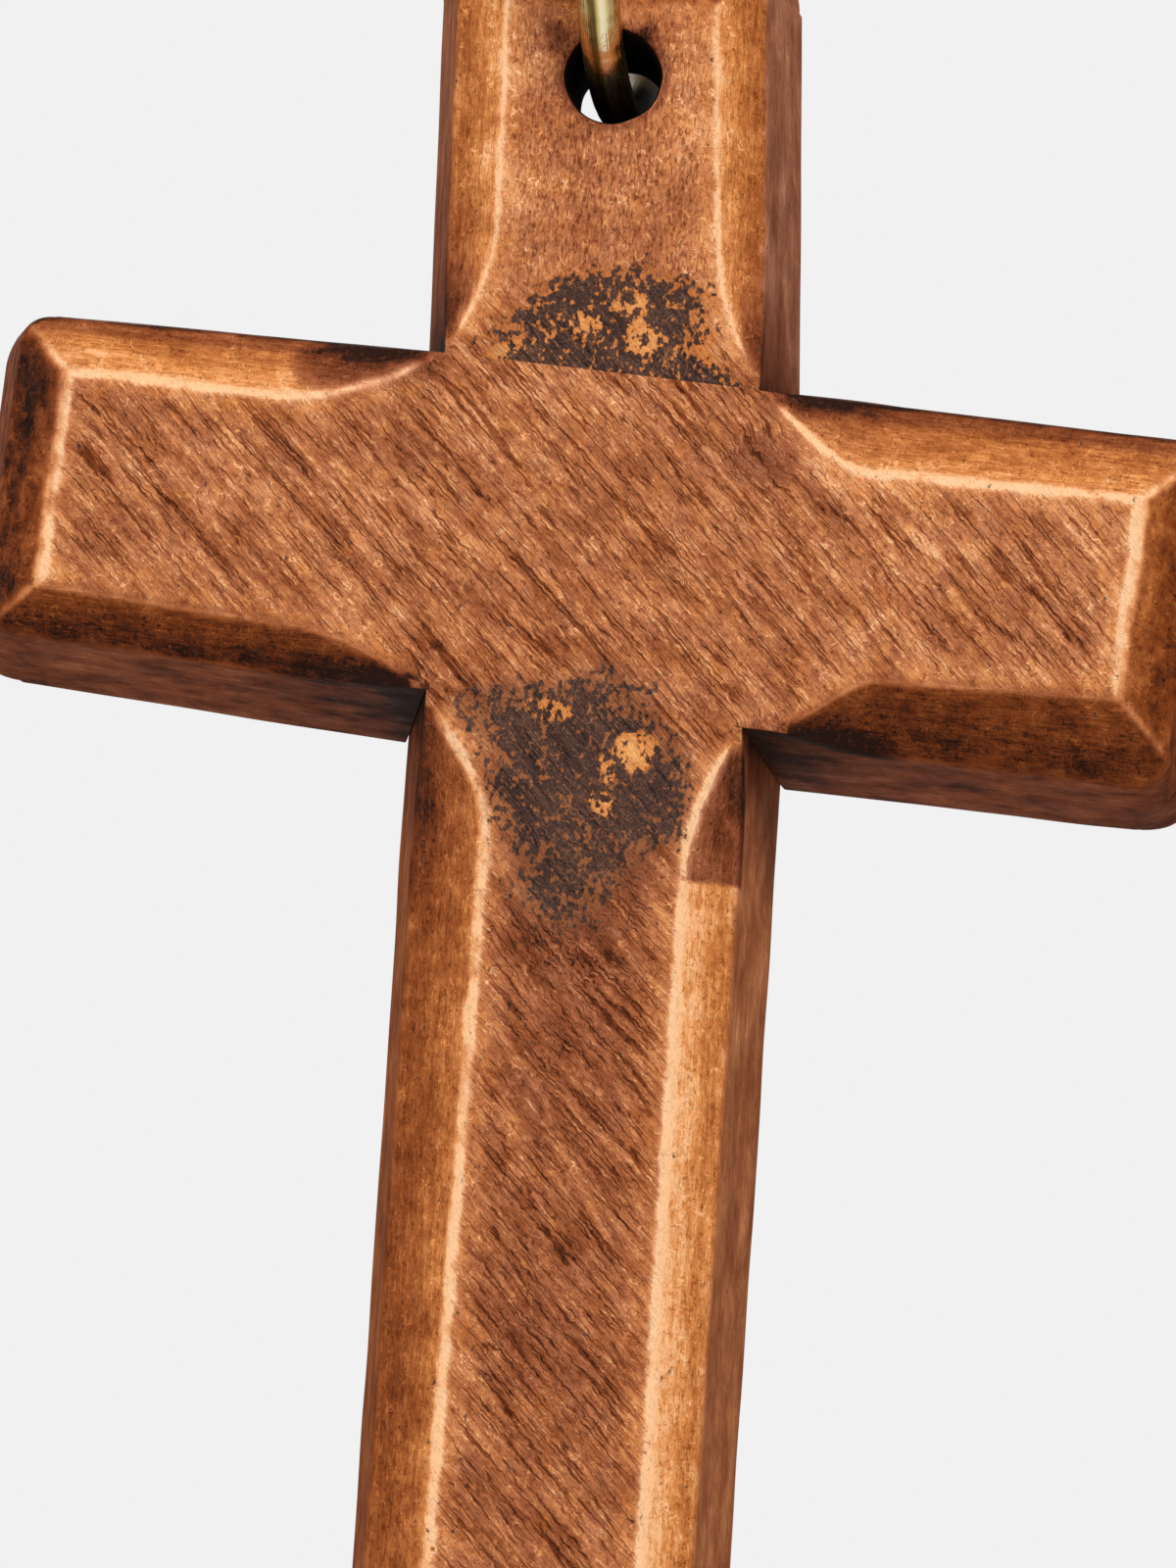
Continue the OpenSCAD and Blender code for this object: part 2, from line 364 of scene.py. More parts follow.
    def wall_rows(self):
        """Loops of points from beside the face's edge, over the chamfers and down to the back."""
        face, arris, side, back = [self.outline(level) for level in range(4)]
        rows = [mix(face, arris, k / CHAMFER_CELLS) for k in range(1, CHAMFER_CELLS + 1)]
        for row in rows:
            row[:, 2] = self.front_depth(row[:, 0], row[:, 1])
        arris = rows[-1]
        rows += [mix(arris, side, (k / SIDE_CELLS) ** 1.4) for k in range(1, SIDE_CELLS + 1)]
        rows += [mix(side, back, k / BACK_CELLS) for k in range(1, BACK_CELLS + 1)]
        rows = np.array(rows)
        for centre, reach, passes in ROUND_OVERS:
            inner = slice(centre - reach, centre + reach + 1)
            for _ in range(passes):
                before, after = np.roll(rows, 1, 0)[inner], np.roll(rows, -1, 0)[inner]
                rows[inner] = (rows[inner] * 2 + before + after) / 4
        along, none = np.arange(self.stations), np.full(self.columns + 1, -1)
        stations = np.broadcast_to(self.loop_of(along, none, along, none), rows.shape[:2])
        return self.in_joint(rows, stations)

    def in_joint(self, places, stations):
        """Places with the joint's cut made at the stations inside it."""
        inside = (stations >= self.walls[1]) & (stations <= self.walls[2])
        s, t, d = places[inside].T
        places[inside] = np.stack(self.shape_joint(s, t, d, self.joint_share[stations[inside]]), -1)
        return places

    def below_front(self, s, t, d):
        """Depth of a place below the front's surface, which is more than 0 on the sides and the back."""
        return d - self.front_depth(s, t)

    def past_arris(self, s, t, d):
        """Distance past the chamfers' outer arris, below 0 on the front."""
        side, end = self.past_face(s, t)
        below = self.below_front(s, t, d)
        on_front = np.minimum(np.maximum(side - self.cut(s, t), end - END_CHAMFER), 0)
        return np.where(below > OFF_FRONT, below, on_front)

    def past_walls(self, s, t, d):
        """Distances past the long side and past the end, below 0 inside the bar."""
        past_side = np.abs(t) - self.back_half(s, t) + lean_in(SIDE_LEAN, d)
        past_end = np.abs(s) - self.arm(s) + lean_in(END_LEAN, d)
        return past_side, past_end

    def on_end(self, s, t, d):
        """From 0 where a place belongs to the long sides to 1 where it belongs to an end."""
        side, end = self.past_face(s, t)
        past_side, past_end = self.past_walls(s, t, d)
        mitre = end * END_SLOPE - side * SIDE_SLOPE
        on_wall = smoothstep(0, 0.2, self.below_front(s, t, d))
        return smoothstep(-0.1, 0.1, mix(mitre, past_end - past_side, on_wall))

    def rub(self, places):
        """Places with the unevenness of hand work, which always lies inside the true shape."""
        s, t, d = places.T
        points = self.to_frame(places)
        below = self.below_front(s, t, d)
        arris = np.maximum(*self.past_face(s, t))
        front = 0.04 * value_noise(points, 4, 1) + 0.02 * value_noise(points, 1.1, 2)
        front += 0.09 * smoothstep(0.72, 0.95, value_noise(points, 0.45, 3)) * np.exp(-(arris / 0.25) ** 2)
        front += GROOVE_DEPTH * (1 - groove_height(points))
        if self is upright:
            front += SEAM_DROP * (1 - smoothstep(0, 3.5, s - self.starts[0])) * (s > 0)
            along, across, apart = from_hole(s, t)
            turn = np.stack([np.arctan2(along, across) + 4, d / 3], -1)
            wider = 0.08 * value_noise(turn, 0.5, 9) * (1 - smoothstep(HOLE_R + 0.1, HOLE_R + 0.6, apart))
            s, t = s + wider * along / apart, t + wider * across / apart
        front *= 1 - smoothstep(0, 1, below)
        wall = 0.05 * value_noise(points, 2.2, 6) * smoothstep(0, 0.8, below)
        past_side, past_end = self.past_walls(s, t, d)
        back = 0.05 * value_noise(points, 3, 4) * smoothstep(THICKNESS - 1, THICKNESS, d)
        return np.stack([s - np.sign(s) * wall * smoothstep(-0.3, 0, past_end),
                         t - np.sign(t) * wall * smoothstep(-0.3, 0, past_side), d + front - back], -1)

    def to_frame(self, places):
        """Places (s, t, d) as points of the row frame."""
        return CROSSING + (places - (0, 0, LAP_DEPTH)) @ self.axes

    def to_bar(self, points):
        """Points of the row frame as places (s, t, d)."""
        return (points - CROSSING) @ self.axes.T + (0, 0, LAP_DEPTH)


def groove_height(points):
    """Height from 0 to 1 of the slanting saw and file marks across the front."""
    x, _, z = points.T
    turn = GROOVE_TURN + 0.07 * np.sin(z / 9)
    along, across = x * np.cos(turn) - z * np.sin(turn), x * np.sin(turn) + z * np.cos(turn)
    across = across + 0.12 * value_noise(points[:, ::2], 2.5, 7)
    return value_noise(np.stack([along / 1.3, across / 0.17], -1), 1, 8)


def upright_joint(sign, t, d):
    """Where the crossbar's edge crosses the upright, as a distance along the upright."""
    return (sign * (CROSSBAR_FRONT + JOINT_GAP) + t * math.sin(TILT)) / math.cos(TILT) + 0 * d


def crossbar_joint(sign, t, d):
    """Where the upright's side crosses the crossbar, as a distance along the crossbar."""
    half = UPRIGHT_W / 2 - lean_in(SIDE_LEAN, d) + JOINT_GAP
    return (sign * half - t * math.sin(TILT)) / math.cos(TILT)


def sink_upright(s, t, d, share):
    """The upright gives up its front half in the joint."""
    return s, t, np.maximum(d, LAP_DEPTH + JOINT_GAP)


def cut_tongue(s, t, d, share):
    """The crossbar keeps a straight-sided tongue of its front half in the joint."""
    half = CROSSBAR_FRONT + JOINT_GAP - SEAM_GAP
    tucked = half - TUCK * np.clip((d - LAP_DEPTH) / (THICKNESS - LAP_DEPTH), 0, 1)
    t = np.sign(t) * np.where(np.abs(t) > half - EDGE_EASE, tucked, np.abs(t))
    d = np.minimum(d, LAP_DEPTH)
    return mix(crossbar_joint(-1, t, d), crossbar_joint(1, t, d), share), t, d


def is_within(points, loops):
    """Whether each point lies inside an odd number of closed loops."""
    inside = np.zeros(len(points), bool)
    for loop in loops:
        for a, b in zip(loop, np.roll(loop, -1, 0)):
            spans = (a[1] > points[:, 1]) != (b[1] > points[:, 1])
            if spans.any():
                reach = (b[0] - a[0]) * (points[:, 1] - a[1]) / (b[1] - a[1])
                inside ^= spans & (points[:, 0] < reach + a[0])
    return inside


class Skin:
    """Points and faces of a mesh as they are gathered."""

    def __init__(self):
        self.points = np.zeros((0, 3))
        self.faces = []

    def add(self, points):
        """Adds points and returns their numbers, in the same shape."""
        first = len(self.points)
        self.points = np.concatenate([self.points, points.reshape(-1, 3)])
        return np.arange(first, len(self.points)).reshape(points.shape[:-1])

    def quads(self, grid, keep=None):
        """Faces between neighbours in a grid of point numbers."""
        quads = np.stack([grid[:-1, :-1], grid[1:, :-1], grid[1:, 1:], grid[:-1, 1:]], -1)
        self.faces += (quads.reshape(-1, 4) if keep is None else quads[keep]).tolist()

    def wall(self, loops):
        """Faces between closed loops of point numbers."""
        self.quads(np.concatenate([loops, loops[:, :1]], 1))

    def fill(self, loops, lines=(), inner=()):
        """Triangles between closed loops, through inner points and along the edges of lines."""
        numbers = np.unique(np.concatenate([*loops, *lines, inner]).astype(int))
        slot = {n: k for k, n in enumerate(numbers.tolist())}
        chains = [np.append(loop, loop[0]) for loop in loops] + list(lines)
        pairs = [pair for chain in chains for pair in zip(chain[:-1].tolist(), chain[1:].tolist())]
        edges = [(slot[a], slot[b]) for a, b in pairs
                 if np.abs(self.points[a] - self.points[b]).max() > 1e-6]
        plan = self.points[:, :2].astype(np.float32).astype(float)
        made = delaunay_2d_cdt([Vector(plan[n]) for n in numbers], edges, [], 0, 0, True)
        sources = np.array([ids[0] for ids in made[3]])
        triangles = numbers[sources[np.array(made[2])]]
        centres = plan[triangles].mean(1)
        self.faces += triangles[is_within(centres, [plan[loop] for loop in loops])].tolist()

    def mesh(self, name):
        """The mesh in metres, with doubled points merged and its faces turned outwards."""
        made = bpy.data.meshes.new(name)
        made.from_pydata((self.points * MM).tolist(), [], self.faces)
        work = bmesh.new()
        work.from_mesh(made)
        bmesh.ops.remove_doubles(work, verts=work.verts, dist=1e-4 * MM)
        bmesh.ops.delete(work, geom=[v for v in work.verts if not v.link_faces], context="VERTS")
        bmesh.ops.recalc_face_normals(work, faces=work.faces)
        work.to_mesh(made)
        work.free()
        made.shade_smooth()
        made.set_sharp_from_angle(angle=math.radians(55))
        return made


def circle(radius, depth, centre):
    """Points round the hole, in a bar's own frame."""
    angle = np.linspace(0, 2 * math.pi, HOLE_CELLS, endpoint=False)
    s, t = centre[0] + radius * np.cos(angle), centre[1] + radius * np.sin(angle)
    return np.stack([s, t, 0 * angle + depth], -1)


def hole_profile():
    """Radius and depth down the hole, with an eased rim at both ends."""
    turn = np.linspace(0, math.pi / 2, 5)
    rim = [(HOLE_R + RIM_EASE * (1 - math.sin(a)), RIM_EASE * (1 - math.cos(a))) for a in turn]
    wall = [(HOLE_R, mix(RIM_EASE, THICKNESS - RIM_EASE, k / 16)) for k in range(1, 16)]
    return rim + wall + [(r, THICKNESS - d) for r, d in reversed(rim)]


def back_depth(bar, s, t):
    """Depth of the back, which the crossbar's notch brings forward to its tongue."""
    if bar is upright:
        return 0 * s + THICKNESS
    shallow, deep = [np.abs(crossbar_joint(np.sign(s), t, depth)) for depth in (LAP_DEPTH, THICKNESS)]
    return mix(LAP_DEPTH, THICKNESS, np.clip((np.abs(s) - shallow) / (deep - shallow), 0, 1))


def build_bar(bar, hole=None):
    """The whole skin of a bar, in its own frame."""
    skin = Skin()
    grid = bar.face_grid()
    face = skin.add(grid)
    edge = bar.loop_of(face[:, -1], face[-1], face[:, 0], face[0])
    rows = skin.add(bar.wall_rows())
    skin.wall(np.concatenate([edge[None], rows]))
    back_loops, keep, rings = [rows[-1]], np.ones((face.shape[0] - 1, face.shape[1] - 1), bool), None
    if hole:
        profile = np.array([circle(r, d, hole) for r, d in hole_profile()])
        rings = skin.add(profile)
        skin.wall(rings)
        clear = HOLE_R + RIM_EASE + 4 * CELL
        i = np.flatnonzero(np.abs(grid[:, grid.shape[1] // 2, 0] - hole[0]) < clear)
        j = np.flatnonzero(np.abs(grid[i[0], :, 1] - hole[1]) < clear)
        keep[i[0]:i[-1], j[0]:j[-1]] = False
        block = face[i[0]:i[-1] + 1, j[0]:j[-1] + 1]
        frame_loop = bar.loop_of(block[:, -1], block[-1], block[:, 0], block[0])
        middle = block[1:-1, 1:-1].ravel()
        apart = np.hypot(*(skin.points[middle, :2] - hole).T)
        skin.fill([frame_loop, rings[0]], inner=middle[apart > HOLE_R + RIM_EASE + CELL])
        back_loops.append(rings[-1])
    skin.quads(face, keep)
    lines = []
    if bar is crossbar:
        across = np.arange(1, 24) / 24
        for wall in bar.walls:
            a, b = rows[-1][wall], rows[-1][bar.stations + bar.columns + bar.stations - 2 - wall]
            points = mix(skin.points[a], skin.points[b], across[:, None])
            lines.append(np.concatenate([[a], skin.add(points), [b]]))
    s, t = np.meshgrid(np.arange(-bar.arms[1], bar.arms[0], BACK_CELL),
                       np.arange(-bar.half, bar.half, BACK_CELL))
    inner = np.stack([s.ravel(), t.ravel(), back_depth(bar, s.ravel(), t.ravel())], -1)
    inner = inner[is_within(inner[:, :2], [skin.points[loop][:, :2] for loop in back_loops])]
    near = skin.points[np.concatenate(back_loops + lines)][:, :2]
    gap = np.array([np.hypot(*(near - p[:2]).T).min() for p in inner])
    inner = skin.add(inner[gap > BACK_CELL / 2])
    skin.fill(back_loops, lines, inner)
    skin.points = bar.to_frame(bar.rub(skin.points))
    return skin


upright = Bar((TOP_ARM, UPRIGHT_TOP - TOP_ARM - UPRIGHT_BOTTOM), UPRIGHT_W, CROSSBAR_FRONT,
              UPRIGHT_EDGE_SHARES, UPRIGHT_HOLLOWS, UPRIGHT_SIGNS, ((0, 0, 1), (-1, 0, 0), (0, 1, 0)))
crossbar = Bar((RIGHT_ARM, LEFT_ARM), CROSSBAR_W, UPRIGHT_FRONT,
               CROSSBAR_EDGE_SHARES, CROSSBAR_HOLLOWS, CROSSBAR_SIGNS,
               ((math.cos(TILT), 0, -math.sin(TILT)), (math.sin(TILT), 0, math.cos(TILT)), (0, 1, 0)))
upright.lay_out(84, 6, upright_joint, sink_upright)
crossbar.lay_out(96, 110, crossbar_joint, cut_tongue)


def spots(points, places):
    """Sum of soft spots with wavy outlines, each 1 at its middle and 0 from its edge outwards."""
    bent = points[:, ::2] + np.stack([value_noise(points, 1.6, 31), value_noise(points, 1.6, 32)], -1) - 0.5
    total = np.zeros(len(points))
    for x, z, wide, tall, strength in places:
        total += strength * np.maximum(1 - (((bent - (x, z)) / (wide, tall)) ** 2).sum(-1), 0)
    return total


def patches(points, places):
    """Sum of stains with crisp edges between their low and high x and z."""
    x = points[:, 0] + 0.3 * value_noise(points, 0.9, 33)
    z = points[:, 2] + 0.2 * value_noise(points, 0.7, 34)
    total = np.zeros(len(points))
    for low_x, high_x, low_z, high_z, strength in places:
        in_x = smoothstep(low_x, low_x + 0.15, x) * smoothstep(high_x, high_x - 0.15, x)
        in_z = smoothstep(low_z, low_z + 0.12, z) * smoothstep(high_z, high_z - 0.6, z)
        total += strength * in_x * in_z
    return total


def face_tone(points):
    """Paleness of the faces, by place."""
    x, _, z = points.T
    right, upper, lower = smoothstep(2, 8, x), smoothstep(-16, -12, z), smoothstep(-20, -26, z)
    return 0.645 + 0.03 * right + 0.03 * upper - 0.07 * lower


def add_object(name, data):
    """A new object in the scene."""
    made = bpy.data.objects.new(name, data)
    bpy.context.scene.collection.objects.link(made)
    return made


def points_of(mesh):
    """The points of a mesh in mm."""
    points = np.empty(len(mesh.vertices) * 3)
    mesh.vertices.foreach_get("co", points)
    return points.reshape(-1, 3) / MM


def store(mesh, values, places):
    """Stores each value by its name, and places as the attribute place, on a mesh's points."""
    for key, value in values.items():
        mesh.attributes.new(key, "FLOAT", "POINT").data.foreach_set("value", value.astype(np.float32))
    place = mesh.attributes.new("place", "FLOAT_VECTOR", "POINT")
    place.data.foreach_set("vector", places.astype(np.float32).ravel())


def describe(bar, mesh, scorches, stains_and_shade, tones):
    """Stores what the wood's material needs to know about each point of a bar."""
    points = points_of(mesh)
    places = bar.to_bar(points)
    places = 2 * places - bar.rub(places)
    s, t, d = places.T
    z = points[:, 2]
    row, on_end = bar.row(s, t), bar.on_end(s, t, d)
    side, end = bar.past_face(s, t)
    below, outer = bar.below_front(s, t, d), bar.past_arris(s, t, d)
    # The rows' tones hold painted shade as well as the wood's colour, and their wear a painted highlight as
    # well as wear
    tone, wear, flank, rosy = mix(tones[row], tones[np.where(s < 0, 5, 4)], on_end[:, None]).T
    # Wear with a painted highlight along the arris, faded where the chamfer is shut
    wear = wear * smoothstep(0.02, 0.5, bar.cut(s, t))

    # where the chamfer is shut, the face runs out to the seam as if it had no arris
    plain = np.where(below > OFF_FRONT, 0, 1 - smoothstep(0.03, 0.25, bar.cut(s, t)))
    arris = np.maximum(side, end) - 1.5 * plain
    arris = np.maximum(arris, np.where(below > OFF_FRONT, np.clip(below * 3, 0, 1), -9))
    outer = outer - plain
    tone = mix(face_tone(points), tone, smoothstep(-0.3, 0.2, arris))
    tone = mix(tone, flank, smoothstep(-0.02, 0.06, outer))
    tone = mix(tone, BACK_TONE, smoothstep(THICKNESS - 0.3, THICKNESS, d))
    mitre = np.abs(end * END_SLOPE - side * SIDE_SLOPE) + np.maximum(outer, 0)
    mitre = mitre + 3 * np.maximum(-np.minimum(side, end), 0)

    # painted shade and dirt in the nooks of the crossing, dirt under the crossbar's top arrises and round
    # the hole
    flat = below < 0.3
    past_start = np.abs(s) - bar.starts[row]
    nook_shade_and_dirt = np.exp(-np.maximum(past_start, 0) / NOOK_REACH) * smoothstep(-0.1, 0.5, arris)
    nook_shade_and_dirt = nook_shade_and_dirt * (np.abs(s) > 3) * smoothstep(7, 2, d)
    if bar is crossbar:
        rim = smoothstep(-0.4, -0.1, outer) * smoothstep(0.2, 1.5, past_start)
        rim = rim * (row % 2 == 0) * (1 - on_end)
    else:
        rim = np.exp(-((from_hole(s, t)[2] - HOLE_RIM) / 0.15) ** 2)
    stain = (spots(points, stains_and_shade) + patches(points, CRISP_STAINS) * (arris > 0) + RIM_STAIN * rim) * flat
    # The nooks' darkening is painted shade as well as dirt
    stain = stain + NOOK_SHADE_AND_DIRT * nook_shade_and_dirt
    values = {"arris": np.clip(arris, -3, 3), "mitre": np.clip(mitre, 0, 3), "outer": np.clip(outer, -3, 9),
              "on_end": on_end, "tone": tone, "wear": wear, "rosy": rosy, "stain": stain,
              "groove": groove_height(points), "scorch": np.maximum(spots(points, scorches), 0) * flat,
              "bare": spots(points, BARE_SPOTS) * flat, "marks": smoothstep(-10.6, -12.6, z) * flat,
              "orange": mix(0.25, 0.9, smoothstep(-19, -17, z))}
    store(mesh, values, places)


class Value:
    """A node's output, on which arithmetic adds more nodes."""

    def __init__(self, tree, socket=None):
        self.tree = tree
        self.socket = socket

    def node(self, kind, *inputs, out=0, **settings):
        """Adds a node and fills its inputs in order, where None leaves one as it is."""
        node = self.tree.nodes.new("ShaderNode" + kind)
        for key, setting in settings.items():
            setattr(node, key, setting)
        for slot, value in zip([i for i in node.inputs if i.enabled], inputs):
            if isinstance(value, Value):
                self.tree.links.new(value.socket, slot)
            elif value is not None:
                slot.default_value = value
        return Value(self.tree, [o for o in node.outputs if o.enabled][out])

    def math(self, operation, *others):
        return self.node("Math", self, *others, operation=operation)

    def __add__(self, other):
        return self.math("ADD", other)

    def __sub__(self, other):
        return self.math("SUBTRACT", other)

    def __mul__(self, other):
        return self.math("MULTIPLY", other)

    def size(self):
        return self.math("ABSOLUTE")

    def step(self, low, high, bottom=0, top=1):
        """Eased from bottom where this is low to top where it is high."""
        return self.node("MapRange", self, low, high, bottom, top, interpolation_type="SMOOTHSTEP")

    def lumps(self, x, y, z, turn=0, shift=0):
        """Coordinates in which lumps of one unit are x, y and z long, after a turn about Y."""
        return self.node("Mapping", self, (shift, shift, shift), (0, turn, 0), (x, y, z),
                         vector_type="TEXTURE")

    def noise(self, detail=2, distortion=0):
        """Smooth noise, mostly from -1 to 1."""
        value = self.node("TexNoise", self, 1, detail, 0.5, 2, distortion)
        return value.math("MULTIPLY_ADD", 3.6, -1.8)

    def hairs(self, size, width, shift, turn=0):
        """Thin wandering lines in pieces: 1 on a line and 0 beside it."""
        line = self.lumps(*size, turn, shift).noise(1).size()
        pieces = self.lumps(*size, turn, shift + 9).noise(0)
        return line.step(width, width * 0.2) * pieces.step(-0.1, 0.25)

    def between(self, a, b):
        """Number a where this is 0 and b where it is 1."""
        return (b - a) * self + a

    def mix(self, a, b):
        """Colour a where this is 0 and b where it is 1."""
        return self.node("Mix", self, a, b, data_type="RGBA")

    def ramp(self, stops):
        """Colours between the stops, each with its place and its colour in sRGB steps of 1/255."""
        found = self.node("ValToRGB", self)
        points = found.socket.node.color_ramp.elements
        while len(points) < len(stops):
            points.new(1)
        for point, (place, colour) in zip(points, stops):
            point.position = place
            point.color = paint(colour)
        return found


def paint(colour):
    """A linear colour with alpha from sRGB steps of 1/255."""
    steps = np.array(colour) / 255
    return (*np.where(steps <= 0.04045, steps / 12.92, ((steps + 0.055) / 1.055) ** 2.4), 1)


def start_material(name):
    """A new material with its shader node, its coordinates in mm and a way to read attributes."""
    material = bpy.data.materials.new(name)
    material.use_nodes = True
    tree = material.node_tree
    spot = Value(tree).node("TexCoord", out=3).lumps(MM, MM, MM)

    def read(key):
        return Value(tree).node("Attribute", attribute_name=key, out=2)
    return material, tree.nodes["Principled BSDF"], spot, read


# Palettes, from dark to pale
WOOD = ((0.00, (34, 16, 9)), (0.12, (70, 29, 10)), (0.25, (104, 47, 16)), (0.40, (130, 64, 25)),
        (0.55, (158, 86, 40)), (0.68, (184, 108, 54)), (0.78, (206, 128, 67)), (0.88, (228, 151, 89)),
        (1.00, (246, 184, 130)))
ROSY = ((0.00, (44, 22, 14)), (0.25, (104, 52, 28)), (0.40, (132, 72, 45)), (0.55, (154, 93, 67)),
        (0.68, (180, 114, 83)), (0.78, (200, 136, 101)), (0.88, (224, 164, 124)), (1.00, (244, 200, 158)))
CHAR = ((0.0, (33, 23, 21)), (0.45, (72, 51, 44)), (0.7, (108, 72, 55)), (1.0, (162, 108, 78)))
# The brass palette is spread over the wire by its painted reflection streaks
BRASS = ((0.0, (80, 62, 28)), (0.25, (132, 108, 58)), (0.5, (214, 184, 122)), (0.75, (250, 228, 170)),
         (1.0, (255, 244, 206)))
EMBER = ((0.0, (160, 78, 30)), (0.4, (206, 122, 58)), (1.0, (242, 180, 112)))

# Turn about Y that lines coordinates up with the slanting marks
MARKS_TURN = GROOVE_TURN - math.pi / 2
# Height in metres of one unit of relief
WOOD_RELIEF = 0.00002
BRASS_RELIEF = 0.000006


def face_marks(spot, read):
    """Shade of the slanting marks on the faces, and of short upright flecks above the crossbar."""
    curl = spot.node("TexNoise", spot.lumps(0.22, 0.22, 0.22, shift=50), 1, 1, 0.5, 2, 0, out=1)
    sway = read("stain").step(0, 0.5, 0.12, 0.32)
    bent = spot.node("VectorMath", curl, sway, spot, operation="MULTIPLY_ADD")
    lines = bent.lumps(0.10, 1, 1.1, MARKS_TURN).noise(2)
    fine = bent.lumps(0.045, 1, 0.35, MARKS_TURN, 5).noise(1)
    streaks = spot.lumps(0.45, 1, 1.8, MARKS_TURN, 13).noise(2)
    long_cuts = bent.hairs((0.24, 1, 4.2), 0.16, 3, MARKS_TURN)
    short_cuts = bent.hairs((0.14, 1, 2.0), 0.15, 21, MARKS_TURN)
    cuts = long_cuts.math("MAXIMUM", short_cuts * 0.8)
    slant = fine * 0.13 + (read("groove") - 0.5) * 0.22 + lines * 0.13 + streaks * 0.09 - cuts * 0.33
    pecks = spot.lumps(0.07, 0.3, 0.22).noise(3)
    cracks = spot.hairs((0.10, 0.4, 0.40), 0.20, 17)
    return read("marks").between(pecks * 0.18 - cracks * 0.22, slant)


def grain_shade(spot, place, side, on_end, patchy, uneven):
    """Shade of the grain along the bars on the chamfers and sides, mottled on the ends."""
    grain = place.lumps(1.4, 0.16, 0.16).noise(4) * 0.12
    grain = grain + place.lumps(0.3, 0.05, 0.05, shift=3).noise(1) * 0.10 + patchy * 0.09 + uneven * 0.09
    flank = place.lumps(1.8, 0.5, 0.8, shift=4).noise(4) * 0.16 + grain * 0.6
    mottled = spot.lumps(0.35, 0.8, 0.7).noise(3) * 0.20 + patchy * 0.12
    return on_end.between(side.between(grain, flank), mottled)


def scorched(colour, spot, read, uneven, grit, shade, pale):
    """The colour with the scorched patches on it, whose charred specks have orange rims."""
    lumps = spot.lumps(0.15, 0.15, 0.19, shift=15).noise(4) * 1.4 + uneven * 0.6
    scorch = read("scorch").math("MINIMUM", 0.85)
    bare = read("bare") - lumps * 0.5 * read("bare").step(0, 0.4)
    burnt = scorch * 2.1 - bare - 1.0 + lumps
    haze = (scorch + lumps * 0.15).step(0.0, 0.7)
    orange = haze * read("orange")
    ember = (grit * 0.2 - lumps * 0.25 + read("bare") * 0.4 + 0.22).ramp(EMBER)
    soot = grit * 0.25 + shade * 0.8 + pale * 0.3 + 0.46
    colour = (haze - orange * 0.6).mix(colour, soot.mix(paint((104, 62, 46)), paint((128, 80, 56))))
    rims = orange * burnt.step(-0.9, -0.1) + haze * bare.step(0.15, 0.6) * 0.9
    colour = rims.mix(colour, ember)
    return burnt.step(-0.1, 0.5).mix(colour, soot.ramp(CHAR))


